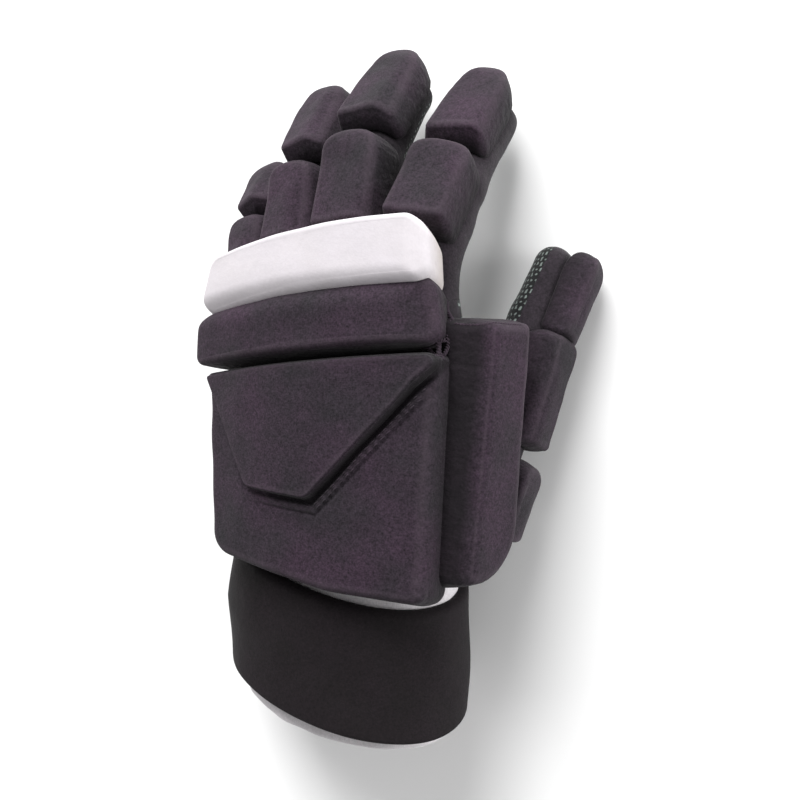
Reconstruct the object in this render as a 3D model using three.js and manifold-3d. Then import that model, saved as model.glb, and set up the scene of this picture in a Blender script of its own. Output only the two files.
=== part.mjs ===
// A left-hand field hockey glove with moulded foam pads, lying palm down as it would by itself.
// It is modelled in the hand's own frame, in millimetres: X to the thumb side, Y to the fingertips,
// Z out of the back of the hand. The last lines tilt it a little and set it on the surface Z = 0.

import * as THREE from "three";
import { mergeVertices } from "three/addons/utils/BufferGeometryUtils.js";
import Module from "manifold-3d";

const wasm = await Module();
wasm.setup();

// Driving dimensions, in millimetres and degrees
const GAP = 0.4; // air between two pieces that touch
const WALL = 2; // stretch fabric with its lining
const STRAP_THICKNESS = 5;
const REST = { pitch: 2.9, roll: -10.8, press: 1 }; // how the hand lies: degrees about X and about Y, flattening

// Colours
const INK = 0x3b3338;
const CREAM = 0xe2dde0;
const MESH_GREY = 0x2b2c2e;
const BROWN_BLACK = 0x322c2c;

// Hand and wrist: closed sections across Y. slant moves the thumb side forward, lean moves the back of the
// hand to the wrist.
const HAND_ROLL = 5; // the little finger's side lies lower
const SQUARENESS = { hand: 2.5, web: 2, wrist: 2.1 }; // 2 is an ellipse
const HAND = [
  { y: 51, x: -2, z: -5, halfWidth: 41, halfHeight: 21, slant: 0, lean: 0 },
  { y: 72, x: -1, z: -3, halfWidth: 44, halfHeight: 19.5, slant: 0.03, lean: 0 },
  { y: 97, x: 0, z: -1, halfWidth: 46, halfHeight: 17.5, slant: 0.06, lean: 0 },
  { y: 122, x: 0, z: 0, halfWidth: 46.5, halfHeight: 16, slant: 0.09, lean: 0 },
  { y: 147, x: -2, z: 0.5, halfWidth: 45, halfHeight: 14.5, slant: 0.12, lean: 0 },
];
const WEB = [
  { y: 72, x: 38, z: -12, halfWidth: 12, halfHeight: 14, slant: 0, lean: 0 },
  { y: 105, x: 44, z: -14, halfWidth: 11, halfHeight: 14, slant: 0, lean: 0 },
  { y: 138, x: 47, z: -15, halfWidth: 7, halfHeight: 12, slant: 0, lean: 0 },
];
const CUFF = [
  { y: -1, x: -3, z: -5, halfWidth: 41.5, halfHeight: 22.5, slant: -0.08, lean: 0.42 },
  { y: 25, x: -3, z: -5, halfWidth: 41.5, halfHeight: 22.5, slant: 0, lean: 0.2 },
  { y: 50.6, x: -2, z: -5, halfWidth: 41, halfHeight: 21.5, slant: 0, lean: 0 },
];
const STRAP = [
  { y: 4, x: -3, z: -5, halfWidth: 42, halfHeight: 23, slant: -0.08, lean: 0.42 },
  { y: 27, x: -3, z: -5, halfWidth: 42, halfHeight: 23, slant: -0.08, lean: 0.42 },
  { y: 50, x: -3, z: -5, halfWidth: 42, halfHeight: 23, slant: -0.08, lean: 0.42 },
];

// Fingers: where the sleeve starts, inside the hand, then for each of its three lengths the way it points.
// yaw turns it to the thumb side, pitch turns it down to the palm, roll turns its back to the thumb side.
const SLEEVES = {
  index: {
    base: [30, 141, 6], roll: 9, halfWidth: 11, halfHeight: 10,
    lengths: [21, 34, 38], yaw: [4, 6, 6], pitch: [6, 32, 46],
  },
  middle: {
    base: [7, 138, 5], roll: -3, halfWidth: 11, halfHeight: 10,
    lengths: [26, 41, 35], yaw: [0, -1, 4], pitch: [6, 18, 44],
  },
  ring: {
    base: [-15, 135, 2.5], roll: -10, halfWidth: 10.5, halfHeight: 9.5,
    lengths: [24, 37, 33], yaw: [-2, -3, -1], pitch: [6, 18, 44],
  },
  little: {
    base: [-36, 131, -3], roll: -20, halfWidth: 9.5, halfHeight: 8.5,
    lengths: [22, 26, 26], yaw: [-5, -6, -4], pitch: [8, 22, 44],
  },
  thumb: {
    base: [36.5, 60, -14], roll: 87, halfWidth: 11.5, halfHeight: 10,
    lengths: [39, 40, 36], yaw: [18, 9, 8], pitch: [11, 16, 26],
  },
};

// Foam pads on the sleeves, from and to as lengths along the sleeve.
const FINGER_PADS = [
  { name: "index_middle_pad", on: "index", from: 24.5, to: 53, width: 25, thickness: 16, round: [4, 6] },
  { name: "index_tip_pad", on: "index", from: 56, to: 92, width: 25, thickness: 15, round: [4, 11] },
  { name: "middle_middle_pad", on: "middle", from: 28, to: 65, width: 25, thickness: 16, round: [4, 8] },
  { name: "middle_tip_pad", on: "middle", from: 68, to: 101, width: 24, thickness: 15.5, round: [4, 11] },
  { name: "ring_middle_pad", on: "ring", from: 28, to: 61, width: 22, thickness: 14.5, round: [4, 8] },
  { name: "ring_tip_pad", on: "ring", from: 63, to: 94, width: 22, thickness: 14, round: [4, 10] },
  { name: "little_middle_pad", on: "little", from: 26, to: 47, width: 19, thickness: 12.5, round: [4, 7] },
  { name: "little_tip_pad", on: "little", from: 49, to: 73, width: 19, thickness: 12, round: [4, 9] },
  { name: "thumb_base_pad", on: "thumb", from: -1, to: 33, width: 20, thickness: 8, round: [7, 7] },
  { name: "thumb_lower_pad", on: "thumb", from: 36, to: 78, width: 20, thickness: 10, round: [4, 4] },
  { name: "thumb_tip_pad", on: "thumb", from: 81, to: 114, width: 17, thickness: 9, round: [4, 8] },
];

// The pads on the back of the hand lie on one arch. u runs along it to the thumb side, and slope is its
// rise there in degrees.
const ARCH_TOP = { u: 12, z: 17.5 };
const ARCH = [
  { u: -66, slope: 34 },
  { u: -40, slope: 20 },
  { u: 12, slope: 0 },
  { u: 40, slope: -8 },
  { u: 50, slope: -22 },
  { u: 60, slope: -60 },
];
const SWEEP = { fromY: 100, perMm: 0.0000265, thumbSide: 40 }; // the little finger's knuckle lies further back
const LEAN = { fromY: 112, perMm: 0.42, most: 24 }; // degrees, the pads' walls lean to the fingertips

// Outlines are corners in order, anticlockwise seen from outside: u, y and the corner's radius.
const BACK_PAD = {
  corners: [[-44, 56, 12], [48, 43.5, 7], [50, 125, 4], [-46, 125, 4]],
  from: -2, thickness: 17, bevel: 4, bevelDrop: 3,
};
const SHIELD = {
  corners: [[-46, 122, 3], [-24, 80, 5], [4, 76, 5], [51, 123.5, 3]],
  from: 15, thickness: 21, bevel: 3, bevelDrop: 3,
};
const DARK_BAR = {
  corners: [[-51, 126, 6], [47, 126, 6], [45, 148, 6], [-49, 147, 7]],
  from: -2, thickness: 20, bevel: 4, bevelDrop: 3,
};
const WHITE_BAR = {
  corners: [[-48, 143, 6], [44, 144, 6], [43, 168, 7], [-41, 167, 7]],
  from: -2, thickness: 20, bevel: 4, bevelDrop: 3,
};
// facing is how far its top is turned to the thumb side, radii are the four corners of its outline.
const SIDE_PAD = {
  fromY: 48, toY: 137, halfWidth: 17, radii: [6, 10, 4, 4], facing: 65, x: 50, z: 5,
  from: -6, thickness: 18.5, taper: 0.09, tilt: 0.12, bevel: 6, bevelDrop: 5,
};

// How the surfaces are stepped
const HAND_SIDES = 20;
const SLEEVE_SIDES = 10;
const SLEEVE_RING_STEP = 14;
const DOME_ANGLES = [35, 65]; // the rings of a sleeve's round tip
const ARC_STEPS = 2; // in a corner of an outline
const CURVED_FACE = [0.7, 0.35]; // the rings that a curved pad's top and underside narrow through
const LINE_STEP = 0.5; // along a sleeve
const LINE_SPARE = 20; // a sleeve's line runs on past its tip
const ARCH_STEPS = 40;

// Shape of sleeves, pads and cuts
const JOINT_BLEND = 9; // a sleeve bends over this length to both sides of a joint
const TIP_TAPER = 0.86; // a sleeve's section at its tip
const PAD_SEAT = 0.4; // a finger pad starts inside its sleeve, at this share of the sleeve's half height
const LEAST_RADIUS = 0.8;
const CROWN = 0.4; // the top of a pad rises this much inside its bevel
const MOUTH = 3; // a hollow is cut this far past its open end
const SLAB = 400;
const MERGE = 0.0001;
const FINEST = 0.02; // edges shorter than this are merged

const radians = THREE.MathUtils.degToRad;

// A rounded polygon, moved inwards by inset. Each corner is an arc and each side is cut into even steps.
function outline(corners, inset, arcSteps, longestStep) {
  const points = [];
  const count = corners.length;
  const sides = corners.map(([x, y], i) => {
    const [nextX, nextY] = corners[(i + 1) % count];
    const length = Math.hypot(nextX - x, nextY - y);
    const along = [(nextX - x) / length, (nextY - y) / length];
    return { along, inwards: [-along[1], along[0]], length };
  });
  const arcs = corners.map(([x, y, radius], i) => {
    const before = sides[(i + count - 1) % count];
    const after = sides[i];
    const turn = Math.atan2(
      before.along[0] * after.along[1] - before.along[1] * after.along[0],
      before.along[0] * after.along[0] + before.along[1] * after.along[1],
    );
    const halfTan = Math.tan(turn / 2);
    const moved = [
      x + inset * (after.inwards[0] + after.along[0] * halfTan),
      y + inset * (after.inwards[1] + after.along[1] * halfTan),
    ];
    const r = Math.max(radius - inset, LEAST_RADIUS);
    const centre = [
      moved[0] + r * (after.inwards[0] + after.along[0] * halfTan),
      moved[1] + r * (after.inwards[1] + after.along[1] * halfTan),
    ];
    const start = Math.atan2(-before.inwards[1], -before.inwards[0]);
    return Array.from({ length: arcSteps + 1 }, (_, k) => {
      const angle = start + (turn * k) / arcSteps;
      return [centre[0] + r * Math.cos(angle), centre[1] + r * Math.sin(angle)];
    });
  });
  arcs.forEach((arc, i) => {
    points.push(...arc);
    const steps = Math.max(1, Math.round(sides[i].length / longestStep));
    const [fromX, fromY] = arc[arcSteps];
    const [toX, toY] = arcs[(i + 1) % count][0];
    for (let k = 1; k < steps; k += 1)
      points.push([fromX + ((toX - fromX) * k) / steps, fromY + ((toY - fromY) * k) / steps]);
  });
  return points;
}

// A closed surface over rings of equal length, with a pole at each end.
function closedRings(rings, firstPole, lastPole) {
  const around = rings[0].length;
  const vertices = [firstPole, ...rings.flat(), lastPole];
  const last = vertices.length - 1;
  const index = [];
  for (let k = 0; k < around; k += 1) {
    const next = (k + 1) % around;
    index.push(0, 1 + next, 1 + k);
    for (let ring = 0; ring + 1 < rings.length; ring += 1) {
      const low = 1 + ring * around;
      const high = low + around;
      index.push(low + k, low + next, high + next, low + k, high + next, high + k);
    }
    const top = 1 + (rings.length - 1) * around;
    index.push(top + k, top + next, last);
  }
  const geometry = new THREE.BufferGeometry();
  geometry.setAttribute("position", new THREE.Float32BufferAttribute(vertices.flat(), 3));
  geometry.setIndex(index);
  return geometry;
}

// A foam block in its own frame, where place(x, y, h) gives the point at height h. The outline's walls lean
// in by draft, a bevel meets the top, and under(x, y) and over(x, y) are the two heights. A flat pad needs no
// rings inside its faces.
function padGeometry({
  corners, under, over, place, faces = [], grow = 0, draft = 1.5, bevel = 4, bevelDrop = 3, step = 14,
}) {
  const at = (inset) => outline(corners, inset - grow, ARC_STEPS, step);
  const base = at(0);
  const centre = [0, 1].map((axis) => base.reduce((sum, p) => sum + p[axis], 0) / base.length);
  const shrunk = (points, share) => points.map((p) => p.map((value, i) => centre[i] + (value - centre[i]) * share));
  const low = (points, raise) => points.map(([x, y]) => place(x, y, under(x, y) + raise - grow));
  const high = (points, drop) => points.map(([x, y]) => place(x, y, over(x, y) - drop + grow));
  const inner = at(draft + bevel);
  const rings = [
    ...faces.map((share) => low(shrunk(at(1), share), 0)).reverse(),
    low(at(1), 0),
    low(base, 1),
    high(at(draft), bevelDrop),
    high(inner, CROWN),
    ...faces.map((share) => high(shrunk(inner, share), 0)),
  ];
  return closedRings(rings, low([centre], 0)[0], high([centre], 0)[0]);
}

// The sleeve's centre line: a sum of short steps whose direction turns smoothly from one length to the next.
function sleeveLine({ base, lengths, yaw, pitch, roll }) {
  const total = lengths.reduce((a, b) => a + b, 0);
  const turned = (values, s) => {
    let value = values[0];
    let joint = 0;
    for (let i = 1; i < values.length; i += 1) {
      joint += lengths[i - 1];
      const share = THREE.MathUtils.smoothstep(s, joint - JOINT_BLEND, joint + JOINT_BLEND);
      value += (values[i] - values[i - 1]) * share;
    }
    return radians(value);
  };
  const frameAt = (s) => {
    const heading = turned(yaw, s);
    const down = turned(pitch, s);
    const along = new THREE.Vector3(
      Math.sin(heading) * Math.cos(down), Math.cos(heading) * Math.cos(down), -Math.sin(down));
    const side = new THREE.Vector3(Math.cos(heading), -Math.sin(heading), 0);
    const back = new THREE.Vector3().crossVectors(side, along);
    side.applyAxisAngle(along, radians(roll));
    back.applyAxisAngle(along, radians(roll));
    return { along, side, back };
  };
  const places = [new THREE.Vector3(...base)];
  for (let s = LINE_STEP / 2; s < total + LINE_SPARE; s += LINE_STEP)
    places.push(places.at(-1).clone().addScaledVector(frameAt(s).along, LINE_STEP));
  return {
    total,
    at(s) {
      const before = Math.max(0, Math.floor(s / LINE_STEP));
      const place = places[before].clone().lerp(places[before + 1], s / LINE_STEP - before);
      return { place, ...frameAt(s) };
    },
  };
}

const lines = Object.fromEntries(Object.entries(SLEEVES).map(([name, row]) => [name, sleeveLine(row)]));

// Rings of a sleeve from its open end to its round tip, with everything grown by extra.
function sleeveRings(name, extra) {
  const { halfWidth, halfHeight } = SLEEVES[name];
  const line = lines[name];
  const tip = line.total + extra;
  const domeLength = halfHeight * TIP_TAPER + extra;
  const domeFrom = tip - domeLength;
  const start = Math.min(0, -extra);
  const steps = Math.round(domeFrom / SLEEVE_RING_STEP);
  const stations = Array.from({ length: steps + 1 }, (_, k) => [start + ((domeFrom - start) * k) / steps, 1]);
  for (const angle of DOME_ANGLES)
    stations.push([domeFrom + domeLength * Math.sin(radians(angle)), Math.cos(radians(angle))]);
  const rings = stations.map(([s, dome]) => {
    const { place, side, back } = line.at(s);
    const share = dome * THREE.MathUtils.mapLinear(s, 0, line.total, 1, TIP_TAPER);
    return Array.from({ length: SLEEVE_SIDES }, (_, k) => {
      const angle = (-2 * Math.PI * k) / SLEEVE_SIDES;
      return place.clone()
        .addScaledVector(side, (halfWidth + extra) * share * Math.cos(angle))
        .addScaledVector(back, (halfHeight + extra) * share * Math.sin(angle))
        .toArray();
    });
  });
  return { rings, tipPoint: line.at(tip).place.toArray(), basePoint: line.at(start).place.toArray() };
}

// The section's outline, a rounded oval rolled about Y.
function ovalRing({ y, x, z, halfWidth, halfHeight, slant, lean }, extra, { roll, squareness }) {
  const power = 2 / squareness;
  return Array.from({ length: HAND_SIDES }, (_, k) => {
    const angle = (2 * Math.PI * k) / HAND_SIDES;
    const c = Math.cos(angle);
    const s = Math.sin(angle);
    const u = (halfWidth + extra) * Math.sign(c) * Math.abs(c) ** power;
    const v = (halfHeight + extra) * Math.sign(s) * Math.abs(s) ** power;
    const px = x + u * Math.cos(radians(roll)) - v * Math.sin(radians(roll));
    const pz = z + u * Math.sin(radians(roll)) + v * Math.cos(radians(roll));
    return [px, y + slant * px - lean * (pz - z), pz];
  });
}

// The middle of a ring.
const middleOf = (ring) => [0, 1, 2].map((axis) => ring.reduce((sum, p) => sum + p[axis] / ring.length, 0));

// A solid oval bar through the sections, with its first and last section moved out.
function ovalSolid({ sections, ...form }, extra, back, forward) {
  const moved = sections.map((row) => ({ ...row }));
  moved[0].y -= back;
  moved.at(-1).y += forward;
  const rings = moved.map((row) => ovalRing(row, extra, form)).reverse();
  return solidOf(closedRings(rings, middleOf(rings[0]), middleOf(rings.at(-1))));
}

// The part of a solid that is left outside the others. Small slivers and very short edges are dropped.
function outside(solid, others) {
  const left = others.reduce((whole, other) => whole.subtract(other), solid);
  return left.decompose().reduce((best, piece) => (piece.volume() > best.volume() ? piece : best)).simplify(FINEST);
}

// Between three.js geometry and a solid that can be cut
function solidOf(geometry) {
  const bare = new THREE.BufferGeometry();
  bare.setAttribute("position", geometry.getAttribute("position"));
  bare.setIndex(geometry.getIndex());
  const merged = mergeVertices(bare, MERGE);
  const mesh = new wasm.Mesh({
    numProp: 3,
    vertProperties: merged.attributes.position.array,
    triVerts: new Uint32Array(merged.index.array),
  });
  return new wasm.Manifold(mesh);
}

function geometryOf(solid) {
  const mesh = solid.getMesh();
  const geometry = new THREE.BufferGeometry();
  geometry.setAttribute("position", new THREE.BufferAttribute(new Float32Array(mesh.vertProperties), 3));
  geometry.setIndex(new THREE.BufferAttribute(new Uint32Array(mesh.triVerts), 1));
  return geometry;
}

// Materials
const material = (color, roughness) => new THREE.MeshStandardMaterial({ color, roughness, metalness: 0 });
const inkFabric = material(INK, 0.85);
const smoothFabric = material(MESH_GREY, 0.8);
const whiteFabric = material(CREAM, 0.6);
const strapFabric = material(BROWN_BLACK, 0.75);

const pieces = [];
const add = (name, solid, finish) => pieces.push({ name, solid, finish });

// A whole sleeve, with its section grown by extra
function sleeveSolid(name, extra) {
  const { rings, tipPoint, basePoint } = sleeveRings(name, extra);
  return solidOf(closedRings(rings, basePoint, tipPoint));
}

const fingers = Object.keys(SLEEVES);
const handForm = { sections: HAND, roll: HAND_ROLL, squareness: SQUARENESS.hand };
const webForm = { sections: WEB, roll: 0, squareness: SQUARENESS.web };
const cuffForm = { sections: CUFF, roll: 0, squareness: SQUARENESS.wrist };
const strapForm = { sections: STRAP, roll: 0, squareness: SQUARENESS.wrist };
const handClearance = ovalSolid(handForm, GAP, GAP, GAP).add(ovalSolid(webForm, GAP, GAP, GAP));
const sleeveClearance = Object.fromEntries(fingers.map((name) => [name, sleeveSolid(name, GAP)]));
const carriers = [handClearance, ...Object.values(sleeveClearance)];

function buildHand() {
  const outer = ovalSolid(handForm, 0, 0, 0).add(ovalSolid(webForm, 0, 0, 0));
  const inner = ovalSolid(handForm, -WALL, MOUTH, -WALL).add(ovalSolid(webForm, -WALL, 0, -WALL));
  const ways = fingers.map((name) => sleeveSolid(name, -WALL));
  add("palm_and_back", outside(outer, [inner, ...ways]), smoothFabric);
}

function buildSleeves() {
  for (const name of fingers)
    add(name + "_sleeve", outside(sleeveSolid(name, 0), [sleeveSolid(name, -WALL), handClearance]), smoothFabric);
}

// The arch across the back of the hand: small steps to both sides of its highest point.
function slopeAt(u) {
  const after = ARCH.findIndex((row) => row.u > u);
  if (after < 1) return radians(after === 0 ? ARCH[0].slope : ARCH.at(-1).slope);
  const [a, b] = [ARCH[after - 1], ARCH[after]];
  return radians(THREE.MathUtils.mapLinear(u, a.u, b.u, a.slope, b.slope));
}
function archPoint(u) {
  const point = { x: ARCH_TOP.u, z: ARCH_TOP.z };
  const step = (u - ARCH_TOP.u) / ARCH_STEPS;
  for (let i = 0; i < ARCH_STEPS; i += 1) {
    const slope = slopeAt(ARCH_TOP.u + (i + 0.5) * step);
    point.x += step * Math.cos(slope);
    point.z += step * Math.sin(slope);
  }
  return point;
}

// A point over the back of the hand: u along the arch, y to the fingertips, h away from it.
function overTheBack(u, y, h) {
  const { x, z } = archPoint(u);
  const slope = slopeAt(u);
  const lean = radians(Math.min(LEAN.most, Math.max(0, (y - LEAN.fromY) * LEAN.perMm)));
  const sweep = Math.max(0, y - SWEEP.fromY) * SWEEP.perMm * (SWEEP.thumbSide - u) ** 2;
  return [
    x - h * Math.sin(slope) * Math.cos(lean),
    y - sweep + h * Math.sin(lean),
    z + h * Math.cos(slope) * Math.cos(lean),
  ];
}

const backPadShape = ({ corners, from, thickness, bevel, bevelDrop }, grow) =>
  solidOf(padGeometry({
    corners, bevel, bevelDrop, grow, faces: CURVED_FACE, place: overTheBack,
    under: () => from, over: () => thickness,
  }));

function sidePadShape(grow) {
  const { fromY, toY, halfWidth, radii, facing, x, z, from, thickness, taper, tilt, bevel, bevelDrop } = SIDE_PAD;
  const half = (toY - fromY) / 2;
  const turn = new THREE.Matrix4().makeRotationY(radians(facing)).setPosition(x, (fromY + toY) / 2, z);
  return solidOf(padGeometry({
    corners: [[-1, -1], [1, -1], [1, 1], [-1, 1]].map(([i, j], k) => [i * halfWidth, j * half, radii[k]]),
    under: () => from,
    over: (across, along) => thickness - tilt * across - taper * (half - along),
    place: (...point) => new THREE.Vector3(...point).applyMatrix4(turn).toArray(),
    step: 20, bevel, bevelDrop, grow,
  }));
}

const backPadClearance = backPadShape(BACK_PAD, GAP);
const darkBarClearance = backPadShape(DARK_BAR, GAP);
const whiteBarClearance = backPadShape(WHITE_BAR, GAP);
const sidePadClearance = sidePadShape(GAP);
const cuffClearance = ovalSolid(cuffForm, GAP, GAP, GAP);

function buildBackPads() {
  const cuts = {
    back: [...carriers, cuffClearance],
    dark: [...carriers, backPadClearance],
    white: [...carriers, darkBarClearance],
    side: [...carriers, cuffClearance, backPadClearance, darkBarClearance, whiteBarClearance],
  };
  add("back_pad", outside(backPadShape(BACK_PAD, 0), cuts.back), inkFabric);
  add("shield_pad", outside(backPadShape(SHIELD, 0), [backPadClearance]), inkFabric);
  add("dark_knuckle_bar", outside(backPadShape(DARK_BAR, 0), cuts.dark), inkFabric);
  add("white_knuckle_bar", outside(backPadShape(WHITE_BAR, 0), cuts.white), whiteFabric);
  add("thumb_side_pad", outside(sidePadShape(0), cuts.side), inkFabric);
}

function buildFingerPads() {
  for (const { name, on, from, to, width, thickness, round } of FINGER_PADS) {
    const { halfHeight } = SLEEVES[on];
    const half = (to - from) / 2;
    const { place, side, along, back } = lines[on].at((from + to) / 2);
    const turn = new THREE.Matrix4().makeBasis(side, along, back).setPosition(place);
    const geometry = padGeometry({
      corners: [
        [-width / 2, -half, round[0]], [width / 2, -half, round[0]],
        [width / 2, half, round[1]], [-width / 2, half, round[1]],
      ],
      under: () => halfHeight * PAD_SEAT,
      over: () => halfHeight + thickness,
      place: (...point) => new THREE.Vector3(...point).applyMatrix4(turn).toArray(),
      step: 16,
    });
    const cuts = [handClearance, sleeveClearance[on], whiteBarClearance, sidePadClearance];
    add(name, outside(solidOf(geometry), cuts), inkFabric);
  }
}

function buildWrist() {
  const cuffHollow = ovalSolid(cuffForm, -WALL, MOUTH, MOUTH);
  add("cuff", outside(ovalSolid(cuffForm, 0, 0, 0), [cuffHollow]), whiteFabric);
  const band = ovalSolid(strapForm, GAP + STRAP_THICKNESS, 0, 0);
  const bandHollow = ovalSolid(strapForm, GAP, MOUTH, MOUTH);
  add("wrist_strap", outside(band, [bandHollow, ...carriers, backPadClearance, sidePadClearance]), strapFabric);
}

buildHand();
buildSleeves();
buildFingerPads();
buildBackPads();
buildWrist();

// The glove lies on its fingertips, its thumb and its strap, which are pressed flat where they touch, with the
// origin under its middle.
const turnToRest = new THREE.Matrix4()
  .makeRotationX(radians(REST.pitch))
  .multiply(new THREE.Matrix4().makeRotationY(radians(REST.roll)));
const turnBack = turnToRest.clone().invert();
const turned = pieces.map(({ solid }) => geometryOf(solid).applyMatrix4(turnToRest));
const box = turned.reduce((all, geometry) => {
  geometry.computeBoundingBox();
  return all.union(geometry.boundingBox);
}, new THREE.Box3());
const floorHeight = box.min.z + REST.press;
const slab = new THREE.BoxGeometry(SLAB, 2 * SLAB, SLAB)
  .translate(0, 0, floorHeight - SLAB / 2)
  .applyMatrix4(turnBack);
const underFloor = solidOf(slab);

const hand = new THREE.Group();
for (const [i, { name, solid, finish }] of pieces.entries()) {
  const touches = turned[i].boundingBox.min.z < floorHeight;
  const mesh = new THREE.Mesh(geometryOf(touches ? outside(solid, [underFloor]) : solid), finish);
  mesh.name = name;
  hand.add(mesh);
}
hand.setRotationFromMatrix(turnToRest);
const middle = box.getCenter(new THREE.Vector3());
hand.position.set(-middle.x, -middle.y, -floorHeight);

const glove = new THREE.Group();
glove.name = "hockey_glove";
glove.add(hand);

export default glove;
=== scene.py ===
"""A left-hand field hockey glove with moulded foam pads, lying palm down as it would by itself.

Every surface is worked out in millimetres in the hand's own frame: X to the thumb side, Y to the
fingertips, Z out of the back of the hand. to_row() turns it the way the glove lies and puts it in metres.
"""

import bmesh
import bpy
import numpy as np
from mathutils import Matrix, Vector
from mathutils.bvhtree import BVHTree
from numpy import cos, radians, sin


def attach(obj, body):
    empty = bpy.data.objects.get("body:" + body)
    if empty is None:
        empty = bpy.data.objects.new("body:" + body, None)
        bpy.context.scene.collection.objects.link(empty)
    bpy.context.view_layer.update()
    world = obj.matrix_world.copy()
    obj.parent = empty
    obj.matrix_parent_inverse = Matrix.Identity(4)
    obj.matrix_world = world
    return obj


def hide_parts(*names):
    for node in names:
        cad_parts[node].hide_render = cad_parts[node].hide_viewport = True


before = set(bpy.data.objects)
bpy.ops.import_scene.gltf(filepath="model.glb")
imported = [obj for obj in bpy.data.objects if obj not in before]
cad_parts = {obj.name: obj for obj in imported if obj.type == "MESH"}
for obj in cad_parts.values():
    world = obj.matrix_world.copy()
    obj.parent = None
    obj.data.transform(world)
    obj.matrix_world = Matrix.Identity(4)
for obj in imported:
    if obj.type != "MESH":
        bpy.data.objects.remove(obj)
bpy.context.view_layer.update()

MM = 0.001  # a millimetre in metres
CLOTH_UV = 0.01  # UV units for a millimetre of cloth

# ---- How the hand lies, in degrees and millimetres ----
REST_PITCH, REST_ROLL = 2.9, -10.8
HAND_ORIGIN = np.array([-13.313, -115.411, 33.074])

# ---- Hand and wrist: closed sections across Y, each y, x, z, half width, half height, slant and lean ----
HAND_ROLL = 5.0
HAND = np.array([
    (40, -2, -5, 41, 21, 0, 0),
    (51, -2, -5, 41, 21, 0, 0),
    (72, -1, -3, 44, 19.5, 0.03, 0),
    (97, 0, -1, 46, 17.5, 0.06, 0),
    (122, 0, 0, 46.5, 16, 0.09, 0),
    (147, -2, 0.5, 45, 14.5, 0.12, 0),
])
WEB = np.array([
    (72, 38, -12, 12, 14, 0, 0),
    (105, 44, -14, 11, 14, 0, 0),
    (138, 47, -15, 7, 12, 0, 0),
])
CUFF = np.array([
    (0, -4, -5, 41, 22.3, -0.18, 0.42),
    (25, -3.4, -5, 41.5, 22.5, -0.1, 0.3),
    (50.6, -2, -5, 41, 21.5, 0, 0),
])
STRAP = np.array([
    (7, -4.8, -5, 41.6, 23, -0.25, 0.42),
    (29, -5.4, -5, 42.3, 23, -0.25, 0.4),
    (52, -3.6, -5, 40.7, 23, -0.25, 0.36),
])
SQUARENESS = {"hand": 2.5, "web": 2.0, "wrist": 2.1}
OPEN_AT = 51.0  # the fabric hand ends here, inside the strap
KNUCKLES_Y = 146  # beyond it the skin belongs to the fingers
SKIN_GRID, SKIN_WALL = 0.0013, 0.0016  # in metres
# The grip starts and is full where the skin's normal leans this much to the palm's side, and on the thumb earlier.
GRIP_FROM, GRIP_TO, THUMB_GRIP = 0.02, 0.3, 0.16

# ---- Fingers: where each sleeve starts, and for its three lengths the way it points ----
SLEEVES = {
    "index": dict(base=(31.5, 141, 6), roll=9, half=(12.5, 10), lengths=(21, 34, 42), yaw=(4, 6, 4.5),
                  pitch=(6, 32, 46)),
    "middle": dict(base=(7, 138, 5), roll=-3, half=(11, 10), lengths=(26, 41, 37), yaw=(0, -1, 4), pitch=(6, 18, 44)),
    "ring": dict(base=(-15, 135, 2.5), roll=-10, half=(10.5, 9.5), lengths=(24, 37, 36), yaw=(-2, -3, -1),
                 pitch=(6, 18, 44)),
    "little": dict(base=(-36, 131, -3), roll=-20, half=(9.5, 8.5), lengths=(22, 26, 26), yaw=(-5, -6, -4),
                   pitch=(8, 22, 44)),
    "thumb": dict(base=(36.5, 60, -14), roll=87, half=(11.5, 10), lengths=(39, 40, 36), yaw=(18, 9, 14),
                  pitch=(11, 16, 26)),
}
JOINT_BLEND = 9.0
TIP_TAPER = 0.74
LINE_STEP = 0.5

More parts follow.
